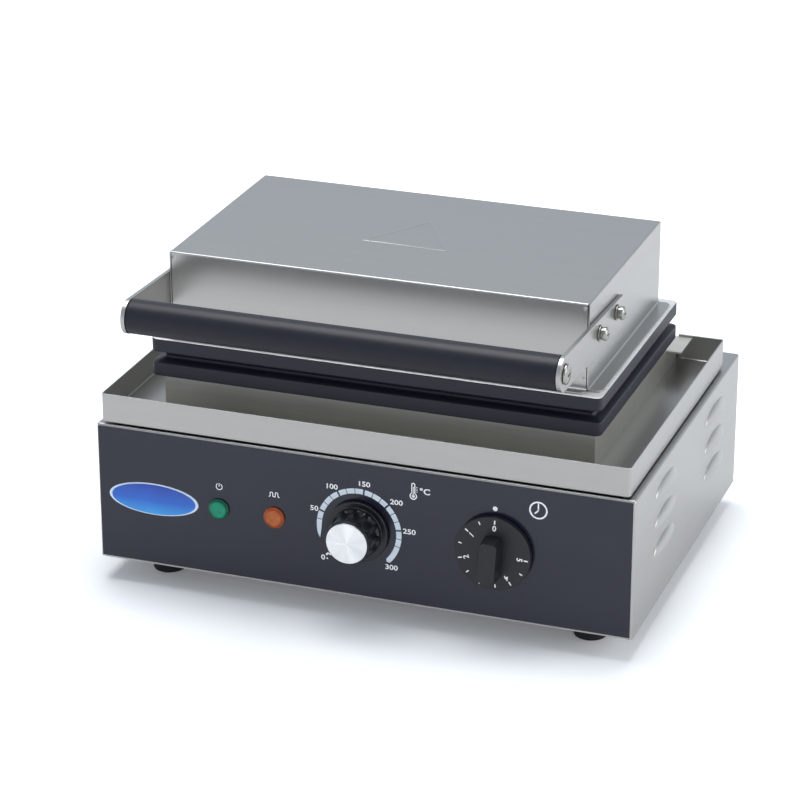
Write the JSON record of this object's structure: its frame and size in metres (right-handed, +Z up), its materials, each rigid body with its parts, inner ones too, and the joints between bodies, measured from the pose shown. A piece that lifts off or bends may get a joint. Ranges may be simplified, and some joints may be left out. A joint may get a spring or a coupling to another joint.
{
  "type": "waffle maker",
  "caption": "Stainless countertop waffle maker: studded cast plates side by side under one hinged lid with a bar handle, a drip tray, and a front panel with thermostat, timer and lamps.",
  "frame": {"origin": "middle of the overall footprint, on the worktop under the feet", "axes": "+X towards the user's right when facing the control panel, +Y towards the hinges at the back, +Z up"},
  "size_m": [0.4172, 0.3508, 0.2531],
  "materials": {
    "stainless": "brushed",
    "steel": "zinc plated, satin",
    "black_casting": "black non-stick coat, semi-matte",
    "black_film": "satin printed film",
    "bakelite": "moulded, semi-gloss",
    "black_plastic": "moulded, satin",
    "rubber": "moulded, matte",
    "spun_aluminium": "spun, bright",
    "green_lens": "clear moulded, gloss",
    "orange_lens": "clear moulded, gloss",
    "ceramic": "fired, matte",
    "copper": "drawn tube, satin",
    "heater_sheath": "heat-darkened, satin",
    "mineral_board": "pressed fibre, matte"
  },
  "bodies": {
    "base": {"housing": "stainless", "base_plate": "stainless", "foot_front_left": "rubber", "foot_front_right": "rubber", "foot_rear_left": "rubber", "foot_rear_right": "rubber", "front_panel_film": "black_film", "thermostat_body": "ceramic", "thermostat_bulb": "copper", "thermostat_capillary": "copper", "timer_body": "steel", "power_lamp_lens": "green_lens", "power_lamp_body": "black_plastic", "heat_lamp_lens": "orange_lens", "heat_lamp_body": "black_plastic", "terminal_block": "ceramic", "cable_gland": "black_plastic", "cable_gland_nut": "black_plastic", "drip_tray": "stainless", "plate_pedestal": "stainless", "hinge_shelf": "stainless", "lower_plate": "black_casting", "lower_heater": "heater_sheath", "lower_heater_clamp_front": "steel", "lower_heater_clamp_rear": "steel", "hinge_bracket_left": "steel", "hinge_bracket_right": "steel", "hinge_pin_left": "steel", "hinge_pin_right": "steel"},
    "lid": {"upper_plate": "black_casting", "upper_heater": "heater_sheath", "upper_heater_clamp_front": "steel", "upper_heater_clamp_rear": "steel", "lid_cover": "stainless", "lid_insulation": "mineral_board", "hinge_leaf_left": "steel", "hinge_leaf_right": "steel", "handle_arm_left": "stainless", "handle_arm_right": "stainless", "handle_grip": "bakelite", "handle_rod": "steel", "handle_end_screw_left": "steel", "handle_end_screw_right": "steel", "arm_washer_left_front": "steel", "arm_washer_left_rear": "steel", "arm_washer_right_front": "steel", "arm_washer_right_rear": "steel", "arm_bolt_left_front": "steel", "arm_bolt_left_rear": "steel", "arm_bolt_right_front": "steel", "arm_bolt_right_rear": "steel"},
    "thermostat_control": {"thermostat_knob": "black_plastic", "thermostat_knob_cap": "spun_aluminium", "thermostat_shaft": "steel"},
    "timer_control": {"timer_knob": "black_plastic", "timer_shaft": "steel"}
  },
  "joints": [
    {"name": "lid_hinge", "type": "hinge", "parent": "base", "child": "lid", "pos_m": [0, 0.1134, 0.17305], "axis": [-1, 0, 0], "range_deg": [0, 95]},
    {"name": "thermostat_turn", "type": "hinge", "parent": "base", "child": "thermostat_control", "pos_m": [0, -0.1314, 0.0715], "axis": [0, 1, 0], "range_deg": [0, 270]},
    {"name": "timer_turn", "type": "hinge", "parent": "base", "child": "timer_control", "pos_m": [0.103, -0.1314, 0.0715], "axis": [0, 1, 0], "range_deg": [0, 270], "stiffness_Nm_per_rad": 0.005}
  ]
}
